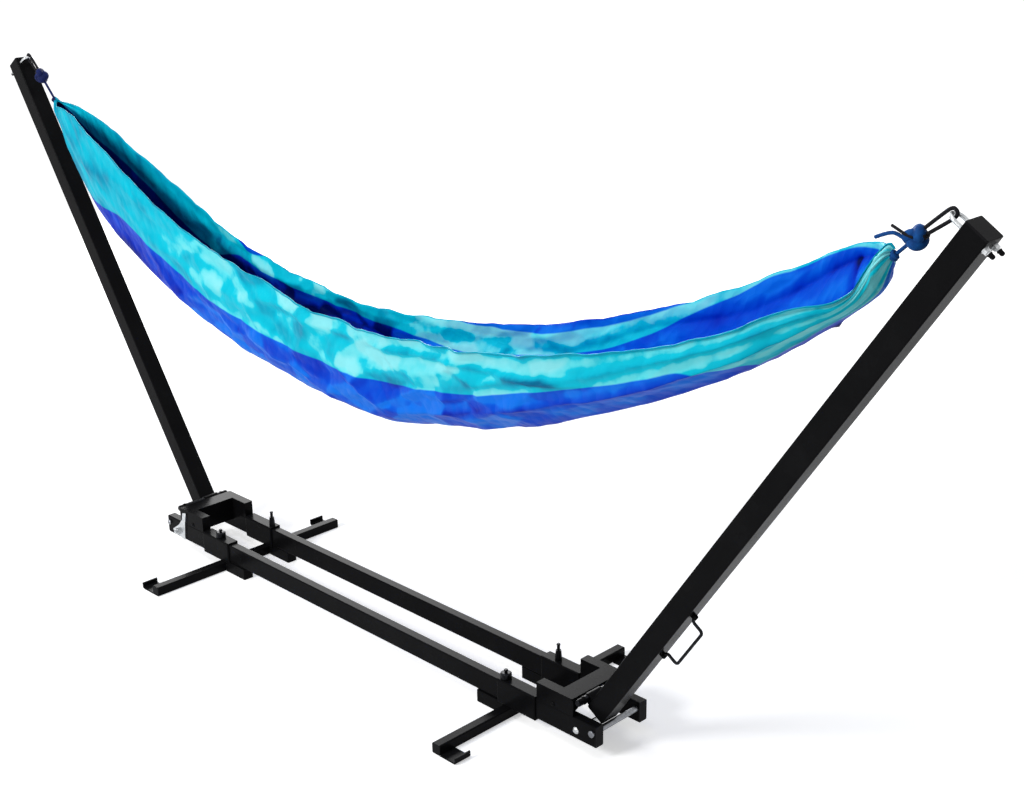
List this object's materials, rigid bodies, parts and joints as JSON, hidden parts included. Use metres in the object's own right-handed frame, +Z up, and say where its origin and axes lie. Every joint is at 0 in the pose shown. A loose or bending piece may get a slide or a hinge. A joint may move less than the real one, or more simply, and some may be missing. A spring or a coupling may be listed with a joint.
{
  "type": "hammock on stand",
  "caption": "Folding black steel hammock stand with two leaning arms over twin base rails, carrying a long gathered cloth hammock in turquoise and blue stripes.",
  "frame": {"origin": "floor level under the middle of the stand, halfway between the two feet", "axes": "+X along the base rails towards the arm with the carry handle, +Y across the rails, +Z up"},
  "size_m": [2.5612, 0.484, 1.0398],
  "materials": {
    "powder_coat": "satin",
    "plug_plastic": "matte",
    "zinc_plate": "satin",
    "blacked_steel": "satin",
    "plain_steel": "satin",
    "striped_nylon": "matte",
    "blue_rope": "matte",
    "black_rope": "matte"
  },
  "bodies": {
    "root": {"rail_near": "powder_coat", "rail_far": "powder_coat", "rail_end_plugs": "plug_plastic", "cheeks_right": "powder_coat", "cheeks_left": "powder_coat", "bridge_plate_right": "powder_coat", "bridge_plate_left": "powder_coat", "hinge_pins": "blacked_steel", "pin_spacers": "blacked_steel", "cheek_rivets": "powder_coat", "tie_bolts": "zinc_plate", "tie_nuts": "zinc_plate", "keeper_plates": "zinc_plate", "hammock_cloth": "striped_nylon", "cloth_ties": "blue_rope"},
    "arm_right": {"arm_tube_right": "powder_coat", "arm_cap_right": "plug_plastic", "heel_plug_right": "plug_plastic", "knuckle_right": "powder_coat", "ubolt_right": "zinc_plate", "ubolt_nuts_right": "zinc_plate", "end_loop_right": "black_rope", "hammock_knot_right": "blue_rope", "neck_rope_right": "blue_rope", "handle_bosses": "powder_coat", "rope_tail": "blue_rope", "loop_tail": "black_rope"},
    "foot_right": {"foot_bar_right": "powder_coat", "foot_bar_plugs_right": "plug_plastic", "collars_right": "powder_coat", "foot_blocks_right": "powder_coat", "foot_hooks_right": "powder_coat", "pin_bodies_right": "blacked_steel", "pin_spring_near_right": "plain_steel", "pin_spring_far_right": "plain_steel"},
    "lock_rod_right": {"lock_rod_right": "plain_steel"},
    "lock_pin_near_right": {"lock_pin_near_right": "blacked_steel"},
    "lock_pin_far_right": {"lock_pin_far_right": "blacked_steel"},
    "arm_left": {"arm_tube_left": "powder_coat", "arm_cap_left": "plug_plastic", "heel_plug_left": "plug_plastic", "knuckle_left": "powder_coat", "ubolt_left": "zinc_plate", "ubolt_nuts_left": "zinc_plate", "end_loop_left": "black_rope", "hammock_knot_left": "blue_rope", "neck_rope_left": "blue_rope"},
    "foot_left": {"foot_bar_left": "powder_coat", "foot_bar_plugs_left": "plug_plastic", "collars_left": "powder_coat", "foot_blocks_left": "powder_coat", "foot_hooks_left": "powder_coat", "pin_bodies_left": "blacked_steel", "pin_spring_near_left": "plain_steel", "pin_spring_far_left": "plain_steel"},
    "lock_rod_left": {"lock_rod_left": "plain_steel"},
    "lock_pin_near_left": {"lock_pin_near_left": "blacked_steel"},
    "lock_pin_far_left": {"lock_pin_far_left": "blacked_steel"},
    "carry_handle": {"carry_handle": "blacked_steel"}
  },
  "joints": [
    {"name": "arm_right_fold", "type": "hinge", "parent": "root", "child": "arm_right", "pos_m": [0.6066, 0, 0.092], "axis": [0, -1, 0], "range_deg": [0, 123.65], "deforming": ["hammock_cloth", "cloth_ties", "rope_tail", "loop_tail", "neck_rope_right", "neck_rope_left"]},
    {"name": "foot_right_slide", "type": "slide", "parent": "root", "child": "foot_right", "axis": [-1, 0, 0], "range_m": [0, 0.3]},
    {"name": "lock_rod_right_pull", "type": "slide", "parent": "root", "child": "lock_rod_right", "axis": [0, -1, 0], "range_m": [0, 0.114]},
    {"name": "lock_pin_near_right_lift", "type": "slide", "parent": "foot_right", "child": "lock_pin_near_right", "axis": [0, 0, 1], "range_m": [0, 0.0055], "stiffness_N_per_m": 300, "springref_m": -0.006, "deforming": ["pin_spring_near_right"]},
    {"name": "lock_pin_far_right_lift", "type": "slide", "parent": "foot_right", "child": "lock_pin_far_right", "axis": [0, 0, 1], "range_m": [0, 0.0055], "stiffness_N_per_m": 300, "springref_m": -0.006, "deforming": ["pin_spring_far_right"]},
    {"name": "arm_left_fold", "type": "hinge", "parent": "root", "child": "arm_left", "pos_m": [-0.6066, 0, 0.092], "axis": [0, 1, 0], "range_deg": [0, 123.65]},
    {"name": "foot_left_slide", "type": "slide", "parent": "root", "child": "foot_left", "axis": [1, 0, 0], "range_m": [0, 0.3]},
    {"name": "lock_rod_left_pull", "type": "slide", "parent": "root", "child": "lock_rod_left", "axis": [0, 1, 0], "range_m": [0, 0.114]},
    {"name": "lock_pin_near_left_lift", "type": "slide", "parent": "foot_left", "child": "lock_pin_near_left", "axis": [0, 0, 1], "range_m": [0, 0.0055], "stiffness_N_per_m": 300, "springref_m": -0.006, "deforming": ["pin_spring_near_left"]},
    {"name": "lock_pin_far_left_lift", "type": "slide", "parent": "foot_left", "child": "lock_pin_far_left", "axis": [0, 0, 1], "range_m": [0, 0.0055], "stiffness_N_per_m": 300, "springref_m": -0.006, "deforming": ["pin_spring_far_left"]},
    {"name": "carry_handle_swing", "type": "hinge", "parent": "arm_right", "child": "carry_handle", "pos_m": [0.79086, -0.021, 0.27199], "axis": [0.5541, 0, 0.8324], "range_deg": [-80, 80]}
  ],
  "couplings": [
    {"joint": "arm_left_fold", "follows": "arm_right_fold", "ratio": 1}
  ]
}
